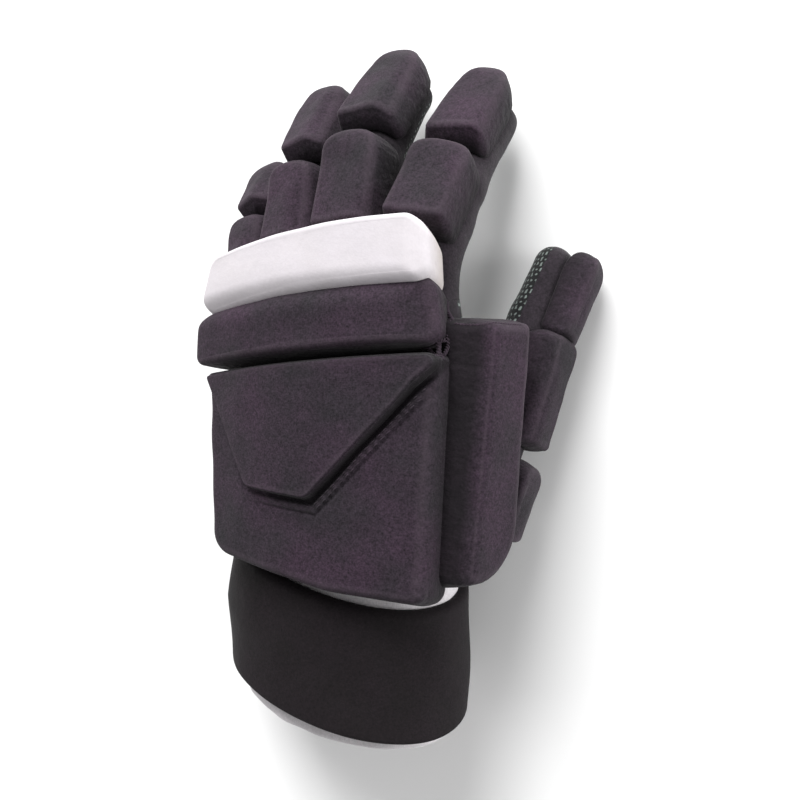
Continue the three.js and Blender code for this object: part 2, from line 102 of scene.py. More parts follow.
# ---- Foam pads on the sleeves ----
# middle: how far along the sleeve its frame sits. Then, in that frame, x across to the thumb side and y to the tip:
# ends: y of the wrist end and the tip end; low, high: x of the left and right sides at those ends;
# round: at the tip, how far back the left and the right side start to curve in, x of the foremost point and how
# square the curve is;
# ridge: x of the line where the main face meets the thumb-side facet, at the wrist end and the tip end;
# top: height of that line over the sleeve; falls: of the main face and the facet, in degrees; nose: length and fall.
PAD_COLUMNS = ("on", "middle", "ends", "low", "high", "round", "ridge", "top", "falls", "nose")
FINGER_PADS = {
    "index_middle_pad": ("index", 38.75, (-17.5, 17), (-15, 10), (-13, 11), (9, 8, 0, 2.5), (8, 8.5), (13, 12.5),
        (5, 52), (7, 2.5)),
    "index_tip_pad": ("index", 74, (-15.5, 26.5), (-14.5, 9.5), (-14, 9.5), (25, 19, -2.5, 2.1), (5.5, 8), (10, 10),
        (10, 50), (16, 6)),
    "middle_middle_pad": ("middle", 46.5, (-18.5, 19.5), (-13.5, 13), (-12.5, 12), (12, 12, 0, 2.4), (8, 9),
        (12, 11.5), (7, 48), (8, 3)),
    "middle_tip_pad": ("middle", 84.5, (-20, 22), (-13.5, 12), (-12, 11.5), (27, 20, 0, 2.1), (5, 7.5), (9.5, 9.5),
        (10, 44), (16, 6)),
    "ring_middle_pad": ("ring", 44.5, (-16.5, 16.5), (-13, 9.5), (-11.5, 9.5), (10, 10, -1, 2.4), (2, 3), (11, 10.5),
        (8, 40), (7, 1.5)),
    "ring_tip_pad": ("ring", 78.5, (-21, 20.5), (-10.5, 10), (-15.5, 8), (22, 18, -4, 2.1), (4, 1), (10, 10), (8, 40),
        (15, 5)),
    "little_middle_pad": ("little", 36.5, (-11, 11), (-10.5, 8.5), (-10, 8.5), (7, 7, -1, 2.4), (2, 2), (10, 9.5),
        (8, 40), (6, 1.5)),
    "little_tip_pad": ("little", 61, (-17, 12), (-9, 9.5), (-12.5, 8), (14, 13, -2, 2.1), (3, 1), (9.5, 9.5), (8, 40),
        (11, 4)),
    "thumb_base_pad": ("thumb", 16, (-10, 19.5), (-10, 10), (-10, 10), (8, 8, 0, 2.4), (0, 0), (11.5, 10.5), (10, 20),
        (6, 2)),
    "thumb_lower_pad": ("thumb", 57, (-19, 24), (-10, 10), (-10, 9), (7, 6, 0, 2.6), (-3, -4), (7, 9), (38, 4),
        (6, 2)),
    "thumb_tip_pad": ("thumb", 97.5, (-18, 17.5), (-6.5, 9), (-7.5, 8), (10, 9, 0, 2.3), (0, 0), (9.5, 9.5), (14, 22),
        (9, 3)),
}
SNUG, PAD_SINK = 0.95, 0.6  # the underside follows the sleeve a little inside its oval
PAD_SEAT = 0.4  # a pad's underside stays this share of the sleeve's half height above its centre line
STEEP = 25  # a main face that falls more than this many degrees gets painted shade, the dark tint of a groove
TIP_FADE, TIP_FLATTER, TIP_SOFTER = 16, 0.45, 7  # towards the tip a pad's faces fall less and its ridge is rounder

# ---- All foam pads ----
SMALLEST_ARC = 0.8  # radius that a corner of an outline keeps
FOOT = 1.0  # radius of a pad's lower edge
ROLLED = 1.2  # cloth over the rounded upper edge, for each millimetre that it drops
INNERMOST = 20.0  # how far the middle of a top counts as being in from the edge
FOAM_FILL, STRAP_FILL = 0.95, 0.8

# ---- Pads on the back of the hand: one arch, u along it to the thumb side ----
# Outlines are corners (u, y, radius). A knuckle bar's roll_off is (from y, to y, fall) of the edge that rolls into
# the seam, and its end (from u, fall in degrees) of the facet on the thumb side.
ARCH_TOP_U, ARCH_TOP_Z, ARCH_STEP = 12.0, 17.5, 0.25
ARCH_U = (-66, -40, 12, 40, 50, 60)
ARCH_SLOPE = (34, 20, 0, -8, -22, -60)
SWEEP_FROM, SWEEP_PER_MM, SWEEP_THUMB_SIDE = 100.0, 0.0000265, 40.0
LEAN_FROM, LEAN_PER_MM, LEAN_MOST = 112.0, 0.42, 24.0
ARCH_FOOT, PANEL_FOOT = -2.0, 15.5  # heights of the undersides
BACK_TOP, BACK_CROWN, PANEL_TOP, PANEL_RISE = 16.6, 0.8, 18.4, 2.5
BACK_PAD = [(-43, 54.4, 12), (10, 43.7, 40), (44.5, 41, 6), (48.8, 127.5, 4), (-44.5, 124.8, 4)]
SHIELD = [(-43.2, 122.8, 2), (-21.5, 80, 5), (4.5, 77, 6), (50, 126, 3)]
# The seam along the panel: u where it starts and where it is whole; distances from the panel where its ledge rises,
# where it falls and where the seam ends; depth, distance and half width of its grooves; its puckers.
SEAM_STARTS, LEDGE_RISES, LEDGE_FALLS, SEAM_REACH = (-30, -5), (1.4, 1.9), (3.6, 4.2), 8
GROOVES, LEDGE_HEIGHT, PUCKER_HEIGHT, PUCKER_LENGTH = ((1.5, 0.6, 0.8), (0.5, 4.5, 0.6)), 0.35, 0.14, 4.1
LEDGE_TO_X, STITCH_ROWS, STITCH_EVERY = 43.0, (2.0, 3.4), 2.9
KNUCKLE_BARS = {
    "dark_knuckle_bar": dict(
        corners=[(-46.6, 125.2, 4), (46.9, 128.2, 5), (44.9, 150.3, 6), (-45, 146.8, 7)],
        top=20.0, roll_off=(138, 149, 5.0), end=(31.5, 22), seed=5),
    "white_knuckle_bar": dict(
        corners=[(-45.4, 143.2, 6), (44.4, 146.3, 5), (43.4, 166.8, 7), (-38.8, 165.4, 7)],
        top=20.0, roll_off=(152, 143, 4.2), end=(36.5, 26), seed=7),
}
# The long pad has a frame of its own at x and z, turned by facing. low and high: its two sides at the wrist end and
# the tip end; foot: height of its underside; taper, tilt: fall of its top for each millimetre to the wrist and
# across; ridge: place and slope of the line where its two faces meet; falls: of these, in degrees.
SIDE_PAD = dict(from_y=48, to_y=139, low=(-19, 14), high=(-17, 15.5), radii=(6, 20, 4, 5), facing=65, x=50, z=5,
                foot=-6, thickness=18.5, taper=0.09, tilt=0.12, ridge=(-6, 0.055), falls=(50, 3))

# ---- Seams, as places in the hand's frame: between the back pads and the thumb side, where they meet in a knot ----
SEAM = [(45, 146, 11), (47.4, 141.5, 14.5), (48.7, 137.2, 17.6), (48.8, 132.9, 20.2), (48.8, 130, 22.2),
        (49.4, 127.6, 24.2)]
KNOT = [[(39, 128.2, 22.5), (44, 128, 24.6), (48.6, 127.8, 25.4)],
        [(43.2, 121.7, 30), (46, 125.2, 28), (49, 129.4, 24.2)],
        [(45.8, 132.2, 24.5), (48.2, 129, 25.4), (49.9, 124.5, 25)],
        [(46, 124.8, 27), (48, 127.8, 26), (49.6, 131.2, 22.8)]]
SIDE_SEAM = [(50, 138, 20.5), (55, 138.2, 21), (60.1, 137.8, 19), (65, 137.4, 11.9), (68, 136.8, 3)]
SEAM_STEP, SEAM_MEAN = 0.35, 9  # a seam's steps, and over how many of them its path is smoothed

# ---- Camera: it looks at AIM in the hand's frame ----
AIM = np.array([41.0, 112.0, 40.0])
CAMERA_AZIMUTH, CAMERA_ELEVATION, CAMERA_DISTANCE = 28.0, 1.5, 440.0
LENS, SENSOR = 61.4, 36.0


# ================= Small tools =================

def turn_about(axis, degrees):
    """The 3 x 3 matrix that turns by an angle about X, Y or Z."""
    return np.array(Matrix.Rotation(radians(degrees), 3, axis))


REST_TURN = turn_about("X", REST_PITCH) @ turn_about("Y", REST_ROLL)


def to_row(points):
    """From the hand's frame in millimetres to how it lies, in metres; nothing goes under the surface Z = 0."""
    placed = (np.asarray(points, float) @ REST_TURN.T + HAND_ORIGIN) * MM
    placed[..., 2] = np.maximum(placed[..., 2], 0.0)
    return placed


def smooth_step(x, low, high):
    """0 below low, 1 above high, and a smooth S between."""
    t = np.clip((x - low) / (high - low), 0, 1)
    return t * t * (3 - 2 * t)


def circle(count):
    """Evenly spaced angles, once round."""
    return np.linspace(0, 2 * np.pi, count, endpoint=False)


def unit(vectors):
    """The vectors, each brought to length 1."""
    return vectors / np.linalg.norm(vectors, axis=-1, keepdims=True)


def level(height):
    """A height that is the same everywhere."""
    return lambda x, y: np.full(np.shape(x), float(height))


def soft_min(a, b, width):
    """The lower of two heights, with the crease between them rounded over about width."""
    return 0.5 * (a + b - np.sqrt((a - b) ** 2 + width * width))


def ripple(points, wavelength, seed, waves=14):
    """Soft random relief from -1 to 1: a sum of plane waves in random directions, about one wavelength long."""
    rng = np.random.default_rng(seed)
    directions = unit(rng.normal(size=(waves, points.shape[-1])))
    numbers = directions * (2 * np.pi / wavelength) * rng.uniform(0.7, 1.4, (waves, 1))
    return sin(points @ numbers.T + rng.uniform(0, 2 * np.pi, waves)).sum(-1) / np.sqrt(waves) * 0.7


def wavy(x, y, height, wavelength, seed):
    """The same relief over a flat place, of a given height."""
    return height * ripple(np.stack([x, y], -1), wavelength, seed)


def outside_distance(corners, xy):
    """How far a point lies outside a polygon with no dents: the largest distance beyond one of its sides."""
    corner = np.array(corners, float)[:, :2]
    along = unit(np.roll(corner, -1, 0) - corner)
    outwards = np.stack([along[:, 1], -along[:, 0]], 1)
    return np.max([(xy - c) @ o for c, o in zip(corner, outwards)], axis=0)


def ring_faces(count, around, wrap=False):
    """Quads between neighbouring rings of a grid; with wrap the last ring is joined to the first."""
    i = np.arange(count if wrap else count - 1)[:, None]
    j = np.arange(around)[None, :]
    i2, j2 = (i + 1) % count, (j + 1) % around
    return np.stack([i * around + j, i * around + j2, i2 * around + j2, i2 * around + j], -1).reshape(-1, 4)


def facing_out(points, faces):
    """The faces, turned round if the volume that they enclose comes out negative."""
    a, b, c, d = (points[faces[:, k]] for k in range(4))
    volume = np.einsum("ij,ij->i", a, np.cross(b, c)).sum() + np.einsum("ij,ij->i", a, np.cross(c, d)).sum()
    return faces if volume > 0 else faces[:, ::-1]


def capped(points, count, around):
    """Quads over rings of points, and triangles to the pole of each end, the last two points; all face out."""
    quads = ring_faces(count, around)
    top = (count - 1) * around
    j = np.arange(around)
    j2 = (j + 1) % around
    caps = np.concatenate([
        np.stack([np.full(around, len(points) - 2), j2, j], 1),
        np.stack([np.full(around, len(points) - 1), top + j, top + j2], 1)])
    if (facing_out(points, quads) != quads).any():
        quads, caps = quads[:, ::-1], caps[:, ::-1]
    return quads, caps


def joined(forms):
    """Points, quads and triangles of several surfaces over closed rings, with a pole in the middle of each end."""
    points, quads, caps, start = [], [], [], 0
    for rings in forms:
        points.append(np.concatenate([rings.reshape(-1, 3), [rings[0].mean(0), rings[-1].mean(0)]]))
        form_quads, form_caps = capped(points[-1], *rings.shape[:2])
        quads.append(form_quads + start)
        caps.append(form_caps + start)
        start += len(points[-1])
    return np.concatenate(points), np.concatenate(quads), np.concatenate(caps)


def in_scene(name, data):
    """A new object of the scene that shows a mesh, light or camera."""
    made = bpy.data.objects.new(name, data)
    bpy.context.scene.collection.objects.link(made)
    return made


def mesh_object(name, points, *faces):
    """A new object with a mesh of points and one or more arrays of faces."""
    mesh = bpy.data.meshes.new(name)
    mesh.from_pydata(points.tolist(), [], [face for array in faces for face in np.asarray(array).tolist()])
    return in_scene(name, mesh)


def dressed(piece, cloth, **values):
    """The piece with a smooth look, a UV place on the cloth for each corner of each face and named values for each
    point."""
    mesh = piece.data
    mesh.uv_layers.new(name="cloth").data.foreach_set("uv", np.asarray(cloth, np.float32).ravel())
    for name, value in values.items():
        mesh.attributes.new(name, "FLOAT", "POINT").data.foreach_set("value", np.asarray(value, np.float32))
    mesh.polygons.foreach_set("use_smooth", np.ones(len(mesh.polygons), bool))
    mesh.update()
    return piece


# ================= Hand, sleeves and arch as formulas =================

def oval(row, angle, extra=0.0, roll=0.0, squareness=2.0):
    """A section as a rounded oval: cos and sin of the angle raised to 2 / squareness, rolled about Y, then sheared
    by slant (the thumb side forward) and lean (the back of the hand to the wrist)."""
    y, x, z, half_width, half_height, slant, lean = np.moveaxis(np.asarray(row, float), -1, 0)
    c, s = cos(angle), sin(angle)
    power = 2 / squareness
    u = (half_width + extra) * np.sign(c) * np.abs(c) ** power
    v = (half_height + extra) * np.sign(s) * np.abs(s) ** power
    r = radians(roll)
    px, pz = x + u * cos(r) - v * sin(r), z + u * sin(r) + v * cos(r)
    return np.stack([px, y + slant * px - lean * (pz - z), pz], -1)


def section_at(table, y):
    """The section at each y, between the rows of a table."""
    return np.stack([np.interp(y, table[:, 0], table[:, k]) if k else y for k in range(table.shape[1])], -1)


def oval_bar(table, squareness, roll=0.0, steps=60, around=120):
    """A closed bar through the sections of a table."""
    y = np.linspace(table[0, 0], table[-1, 0], steps)
    angle = circle(around)
    return oval(section_at(table, y)[:, None], angle[None], roll=roll, squareness=squareness)


class SleeveLine:
    """A finger's centre line: short steps whose direction turns smoothly from one length to the next."""

    def __init__(self, base, lengths, yaw, pitch, roll, half):
        self.half = np.array(half, float)
        self.total = float(sum(lengths))
        self.s = np.arange(0, self.total + 20, LINE_STEP)
        middle = self.s + LINE_STEP / 2
        along = self.direction(middle, lengths, yaw, pitch)[0]
        self.place = np.array(base, float) + np.concatenate([[[0, 0, 0]], np.cumsum(along, 0)[:-1] * LINE_STEP])
        self.along, side, back = self.direction(self.s, lengths, yaw, pitch)
        c, s = cos(radians(roll)), sin(radians(roll))
        self.side, self.back = side * c - back * s, back * c + side * s

    @staticmethod
    def direction(s, lengths, yaw, pitch):
        """Along, side and back at each s; yaw turns to the thumb side and pitch down to the palm."""
        joints = np.cumsum(lengths)[:-1]
        shares = [smooth_step(s, j - JOINT_BLEND, j + JOINT_BLEND) for j in joints]
        heading, down = (
            radians(v[0] + sum((b - a) * k for a, b, k in zip(v[:-1], v[1:], shares))) for v in (yaw, pitch))
        along = np.stack([sin(heading) * cos(down), cos(heading) * cos(down), -sin(down)], -1)
        side = np.stack([cos(heading), -sin(heading), np.zeros_like(heading)], -1)
        return along, side, np.cross(side, along)

    def at(self, s):
        """Place, side, along and back at s, between the steps."""
        return [np.stack([np.interp(s, self.s, values[:, k]) for k in range(3)], -1)
                for values in (self.place, self.side, self.along, self.back)]

    def bar(self, start=0.0, steps=90, around=64):
        """The sleeve as a closed form: ovals that taper to the tip and close in a round dome."""
        dome = self.half[1] * TIP_TAPER
        body = np.linspace(start, self.total - dome, steps)
        angle = radians(np.linspace(0, 88, 14))[1:]
        s = np.concatenate([body, self.total - dome + dome * sin(angle)])
        share = np.concatenate([np.ones(steps), cos(angle)]) * (1 + (TIP_TAPER - 1) * (s / self.total) ** 2)
        place, side, _, back = self.at(s)
        a = circle(around)
        return (place[:, None] + side[:, None] * (self.half[0] * share[:, None] * cos(a))[..., None]
                + back[:, None] * (self.half[1] * share[:, None] * sin(a))[..., None])


LINES = {name: SleeveLine(**row) for name, row in SLEEVES.items()}

ARCH_TABLE_U = np.arange(-100, 90, ARCH_STEP)
ARCH_TABLE_SLOPE = radians(np.interp(ARCH_TABLE_U + ARCH_STEP / 2, ARCH_U, ARCH_SLOPE))


def arch_run(share, top):
    """How far the arch has come at each place of the table, laid so that it passes through its top."""
    run = np.concatenate([[0], np.cumsum(ARCH_STEP * share(ARCH_TABLE_SLOPE))[:-1]])
    return run + (top - np.interp(ARCH_TOP_U, ARCH_TABLE_U, run))


ARCH_TABLE_X, ARCH_TABLE_Z = arch_run(cos, ARCH_TOP_U), arch_run(sin, ARCH_TOP_Z)


def over_the_back(u, y, h):
    """A point over the back of the hand: the arch's point at u, swept back by the square of the distance from the
    thumb side, then h along the arch's normal, which leans to the fingertips."""
    slope = radians(np.interp(u, ARCH_U, ARCH_SLOPE))
    lean = radians(np.clip((y - LEAN_FROM) * LEAN_PER_MM, 0, LEAN_MOST))
    sweep = np.maximum(0, y - SWEEP_FROM) * SWEEP_PER_MM * (SWEEP_THUMB_SIDE - u) ** 2
    return np.stack([
        np.interp(u, ARCH_TABLE_U, ARCH_TABLE_X) - h * sin(slope) * cos(lean),
        y - sweep + h * sin(lean),
        np.interp(u, ARCH_TABLE_U, ARCH_TABLE_Z) + h * cos(slope) * cos(lean)], -1)


# ================= Foam pads =================

def rounded_outline(corners, inset, arc_steps=10, spacing=1.1):
    """A polygon with an arc at each corner (x, y, radius), its sides moved in by inset and cut into even steps."""
    corner = np.array(corners, float)
    place, radius = corner[:, :2], corner[:, 2]
    along = np.roll(place, -1, 0) - place
    length = np.linalg.norm(along, axis=1)
    along = unit(along)
    inwards = np.stack([-along[:, 1], along[:, 0]], 1)
    before, inwards_before = np.roll(along, 1, 0), np.roll(inwards, 1, 0)
    turn = np.arctan2(before[:, 0] * along[:, 1] - before[:, 1] * along[:, 0], (before * along).sum(1))
    r = np.maximum(radius - inset, SMALLEST_ARC)
    centre = place + (inset + r)[:, None] * (inwards + along * np.tan(turn / 2)[:, None])
    start = np.arctan2(-inwards_before[:, 1], -inwards_before[:, 0])
    angle = start[:, None] + turn[:, None] * np.linspace(0, 1, arc_steps + 1)
    arcs = centre[:, None] + r[:, None, None] * np.stack([cos(angle), sin(angle)], -1)
    steps = np.maximum(2, np.round(length / spacing)).astype(int)
    sides = [np.linspace(arcs[i, -1], arcs[(i + 1) % len(arcs), 0], n + 1)[1:-1] for i, n in enumerate(steps)]
    return np.concatenate([part for pair in zip(arcs, sides) for part in pair])


def pad_surface(corners, under, over, draft=1.5, edge=(3.0, 3.0), bulge=0.5, top_steps=26):
    """A foam block as rings from the middle of its underside to the middle of its top. The wall leans in by draft and
    bulges by a half sine, a quarter ellipse rounds the upper edge, and the top follows over(x, y). Each point has
    across, along, height, its place on the unrolled cloth and how far in from the top's edge it is (negative down
    the wall)."""
    inset_edge, drop = edge
    rim = rounded_outline(corners, draft + inset_edge)
    base = rounded_outline(corners, 0.0)
    outward = unit(base - rim)
    centre = base.mean(0)
    rows = []

    def add(xy, height, cloth, reach):
        rows.append(np.column_stack([xy, height, cloth, np.broadcast_to(reach, len(xy))]))

    foot = rounded_outline(corners, FOOT)
    wall_height = float(np.mean(over(*base.T) - under(*base.T)))
    for share in np.linspace(0, 1, 9)[1:]:
        xy = centre + (foot - centre) * share
        add(xy, under(*xy.T), xy, -wall_height - 2)
    for angle in radians((30, 60, 90)):
        xy = rounded_outline(corners, FOOT * (1 - sin(angle)))
        add(xy, under(*base.T) + FOOT * (1 - cos(angle)), base + outward * wall_height, -wall_height - 1)
    for share in np.linspace(0, 1, 12)[1:-1]:
        xy = rounded_outline(corners, draft * share - bulge * sin(np.pi * share))
        low, high = under(*base.T) + FOOT, over(*xy.T) - drop
        reach = (1 - share) * (high - low) + ROLLED * drop
        add(xy, low + (high - low) * share, rim + outward * reach[:, None], -reach)
    for angle in radians(np.linspace(0, 90, 9)):
        xy = rounded_outline(corners, draft + inset_edge * (1 - cos(angle)))
        reach = ROLLED * drop * (1 - angle / (np.pi / 2))
        add(xy, over(*xy.T) - drop * (1 - sin(angle)), rim + outward * reach, -reach)
    for share in np.linspace(1, 0, top_steps)[1:-1]:
        xy = centre + (rim - centre) * share
        add(xy, over(*xy.T), xy, np.linalg.norm(rim - xy, axis=1))
    poles = np.array([[*centre, float(under(*centre)), *centre, -wall_height],
                      [*centre, float(over(*centre)), *centre, INNERMOST]])
    return np.array(rows), poles


def pad_piece(name, corners, under, over, place, near=None, wall=1.0, **shape):
    """A foam block put in place by place(across, along, height). near(x, y) gives the distance from a groove in the
    top, and wall makes a low wall count as a deeper one; both only paint shade onto the cloth."""
    grid, poles = pad_surface(corners, under, over, **shape)
    flat = np.concatenate([grid.reshape(-1, 6), poles])
    edge = np.where(flat[:, 5] < 0, flat[:, 5] * wall, flat[:, 5])
    if near is not None:
        edge = np.minimum(edge, near(flat[:, 0], flat[:, 1]))
    points = to_row(place(flat[:, 0], flat[:, 1], flat[:, 2]))
    quads, caps = capped(points, *grid.shape[:2])
    cloth = flat[np.concatenate([quads.ravel(), caps.ravel()]), 3:5] * CLOTH_UV
    return dressed(mesh_object(f"{name}_foam", points, quads, caps), cloth, edge=edge)


def bullet_corners(ends, low, high, curve, steps=7):
    """A pad's outline as corners (x, y, radius): straight at the wrist end, and closed at the tip by two quarter
    ovals that meet at the foremost point."""
    back_left, back_right, foremost, squareness = curve
    length = ends[1] - ends[0]
    corners = [(low[0], ends[0], 3), (low[1], ends[0], 3)]
    angle = radians(np.linspace(0, 90, steps + 1))
    c, s = cos(angle) ** (2 / squareness), sin(angle) ** (2 / squareness)
    for side, back, order in ((1, back_right, slice(0, steps)), (0, back_left, slice(steps, None, -1))):
        x = low[side] + (high[side] - low[side]) * (length - back) / length
        corners += [(foremost + (x - foremost) * u, ends[1] - back * (1 - v), 1.0) for u, v in
                    list(zip(c, s))[order]]
    return corners


def two_faces(x, y, ends, ridge, top, falls, soft=1.6):
    """Height of two planes that fall from a soft ridge, the main face to the left and the facet to the right."""
    share = (y - ends[0]) / (ends[1] - ends[0])
    line = ridge[0] + (ridge[1] - ridge[0]) * share
    height = top[0] + (top[1] - top[0]) * share
    fade = smooth_step(y, ends[1] - TIP_FADE, ends[1])
    left, right = (np.tan(radians(fall)) * (1 - TIP_FLATTER * fade) for fall in falls)
    soft = soft + TIP_SOFTER * fade
    return soft_min(height - left * (line - x), height - right * (x - line), soft) + soft * 0.3


def finger_pad(name):
    """A block on a sleeve, with two faces and a tip that falls away; its underside arches over the sleeve. A steep
    main face gets painted shade.
    """
    row = dict(zip(PAD_COLUMNS, FINGER_PADS[name]))
    line, ends = LINES[row["on"]], row["ends"]
    place, side, along, back = line.at(row["middle"])
    sleeve_width, sleeve_height = line.half * SNUG

    def under(x, y):
        arch = sleeve_height * np.sqrt(np.clip(1 - (x / sleeve_width) ** 2, 0, 1))
        return np.maximum(PAD_SEAT * sleeve_height, arch - PAD_SINK)

    def over(x, y):
        faces = two_faces(x, y, ends, row["ridge"], row["top"], row["falls"]) + line.half[1]
        length, fall = row["nose"]
        to_tip = np.clip((ends[1] - y) / length, 0, 1)
        drop = fall * (1 - np.sqrt(1 - (1 - to_tip) ** 2 * 0.98))
        return faces - drop + wavy(x, y, 0.12, 11, len(name) + int(row["middle"]))

    # painted shade: a steep main face darkens away from its ridge, towards the groove beside it
    def groove(x, y):
        return 3.0 + (x - np.mean(row["ridge"])) * 1.8

    return pad_piece(name, bullet_corners(ends, row["low"], row["high"], row["round"]), under, over,
                     lambda x, y, h: place + x[:, None] * side + y[:, None] * along + h[:, None] * back,
                     near=groove if row["falls"][0] > STEEP else None, draft=1.0, edge=(2.0, 1.9), bulge=0.35,
                     top_steps=24)


def back_top(x, y):
    """Height of the large block's top, gently crowned. Along the raised panel run a sewn groove, a gathered ledge and
    a second, shallow groove."""
    at = np.stack([x, y], -1)
    away = outside_distance(SHIELD, at)
    stitched = smooth_step(x, *SEAM_STARTS) * (away < SEAM_REACH)
    ledge = smooth_step(away, *LEDGE_RISES) * (1 - smooth_step(away, *LEDGE_FALLS))
    puckers = PUCKER_HEIGHT * sin((x + y) * 2 * np.pi / PUCKER_LENGTH + 1.5 * ripple(at, 9, 12))
    groove = sum(depth * np.exp(-((away - off) / width) ** 2) for depth, off, width in GROOVES)
    crown = BACK_CROWN * cos(np.clip((x - 2) / 50, -1, 1) * np.pi / 2)
    return BACK_TOP + crown + stitched * (ledge * (LEDGE_HEIGHT + puckers) - groove) + 0.25 * ripple(at, 24, 4)


def back_pad():
    """The large block on the back of the hand, with painted shade along the raised panel's edge on the thumb side."""
    # painted shade: the cloth darkens next to the raised panel, but not on the little finger's side
    def near(x, y):
        away = outside_distance(SHIELD, np.stack([x, y], -1))
        return np.maximum(away - 0.4, 0) * 5.0 - 12.0 + 40 * (1 - smooth_step(x, -28, -8))

    return pad_piece("back_pad", BACK_PAD, level(ARCH_FOOT), back_top, over_the_back, near, draft=2.5,
                     edge=(2.8, 3.4), bulge=0.5, top_steps=96)


def shield_pad():
    """The raised panel: highest at its slanted thumb side and fading into the block on the little finger's side. Its
    low walls carry painted shade.
    """
    def over(x, y):
        return PANEL_TOP + PANEL_RISE * smooth_step(x, -46, -2) + wavy(x, y, 0.2, 22, 9)

    # painted shade: wall=5.0 darkens the panel's low walls as if they were five times taller
    return pad_piece("shield_pad", SHIELD, level(PANEL_FOOT), over, over_the_back, wall=5.0, draft=1.0,
                     edge=(1.1, 1.0), bulge=0.0, top_steps=44)


def knuckle_bar(name):
    """A bar across the knuckles, with an edge that rolls into the seam and a facet on the thumb side."""
    row = KNUCKLE_BARS[name]

    def over(x, y):
        low, high, fall = row["roll_off"]
        end, end_fall = row["end"]
        main = row["top"] - fall * smooth_step(y, low, high) ** 1.5
        facet = row["top"] + 0.6 - np.tan(radians(end_fall)) * (x - end)
        return soft_min(main, facet, 0.6) + wavy(x, y, 0.22, 20, row["seed"])

    return pad_piece(name, row["corners"], level(ARCH_FOOT), over, over_the_back, draft=0.5, edge=(2.2, 2.4),
                     bulge=0.3, top_steps=36)


def side_pad():
    """The long block on the thumb side: a steep face in the groove and a wide one outside meet in a soft ridge. The
    face in the groove has painted shade.
    """
    p = SIDE_PAD
    half = (p["to_y"] - p["from_y"]) / 2
    places = ((p["low"][0], -half), (p["low"][1], -half), (p["high"][1], half), (p["high"][0], half))
    corners = [(*place, radius) for place, radius in zip(places, p["radii"])]
    turn = turn_about("Y", p["facing"])
    middle = np.array([p["x"], (p["from_y"] + p["to_y"]) / 2, p["z"]])

    def over(x, y):
        top = p["thickness"] - p["taper"] * (half - y) - p["tilt"] * x
        ridge = p["ridge"][0] + p["ridge"][1] * y
        inner, outer = (np.tan(radians(fall)) for fall in p["falls"])
        to_tip = np.clip((half - y) / 8, 0, 1)
        faces = soft_min(top - inner * (ridge - x), top - outer * (x - ridge), 1.4) + 0.5
        return faces - 1.5 * (1 - to_tip) ** 2 + wavy(x, y, 0.2, 22, 3)

    return pad_piece("thumb_side_pad", corners, level(p["foot"]), over,
                     lambda x, y, h: np.stack([x, y, h], -1) @ turn.T + middle,
                     # painted shade: the cloth darkens from the ridge down the face in the groove
                     near=lambda x, y: 2.0 + (x - p["ridge"][0] - p["ridge"][1] * y) * 3.2, draft=1.5,
                     edge=(3.2, 3.0), bulge=0.8, top_steps=40)


# ================= Fabric hand, cuff and strap =================

def applied(piece, **modifiers):
    """The piece with the given modifiers applied in order, each a dict of settings with its type."""
    for name, settings in modifiers.items():
        settings = dict(settings)
        modifier = piece.modifiers.new(name, settings.pop("type"))
        for key, value in settings.items():
            setattr(modifier, key, value)
    evaluated = piece.evaluated_get(bpy.context.evaluated_depsgraph_get())
    mesh = bpy.data.meshes.new_from_object(evaluated)
    piece.modifiers.clear()
    old, piece.data = piece.data, mesh
    bpy.data.meshes.remove(old)
    return piece


def mesh_points(mesh):
    """Places and normals of a mesh's points, as two arrays."""
    values = np.empty((2, len(mesh.vertices) * 3), np.float32)
    mesh.vertices.foreach_get("co", values[0])
    mesh.vertex_normals.foreach_get("vector", values[1])
    return values.reshape(2, -1, 3).astype(float)


def fabric_hand():
    """Hand, thumb web and five fingers melted into one skin, smoothed where they meet, cut open at the wrist and given
    a wall. Its points have a value grip, which is 1 on the side of the palm."""
    forms = [oval_bar(HAND, SQUARENESS["hand"], HAND_ROLL), oval_bar(WEB, SQUARENESS["web"])]
    points, quads, caps = joined(forms + [line.bar() for line in LINES.values()])
    piece = mesh_object("fabric_hand", points * MM, quads, caps)
    applied(piece,
            melt=dict(type="REMESH", mode="VOXEL", voxel_size=SKIN_GRID, adaptivity=0.0),
            relax=dict(type="SMOOTH", factor=0.5, iterations=12))
    shell = bmesh.new()
    shell.from_mesh(piece.data)
    bmesh.ops.bisect_plane(shell, geom=shell.verts[:] + shell.edges[:] + shell.faces[:],
                           plane_co=(0, OPEN_AT * MM, 0), plane_no=(0, -1, 0), clear_outer=True)
    shell.to_mesh(piece.data)
    shell.free()
    applied(piece, wall=dict(type="SOLIDIFY", thickness=SKIN_WALL, offset=-1.0))
    mesh = piece.data
    skin, normal = mesh_points(mesh)
    skin = skin / MM
    skin += normal * (0.35 * ripple(skin, 16, 21))[:, None]
    grip, cloth = palm_side(skin, normal)
    mesh.vertices.foreach_set("co", to_row(skin).astype(np.float32).ravel())
    corner = np.empty(len(mesh.loops), np.int32)
    mesh.loops.foreach_get("vertex_index", corner)
    return dressed(piece, cloth[corner] * CLOTH_UV, grip=grip)


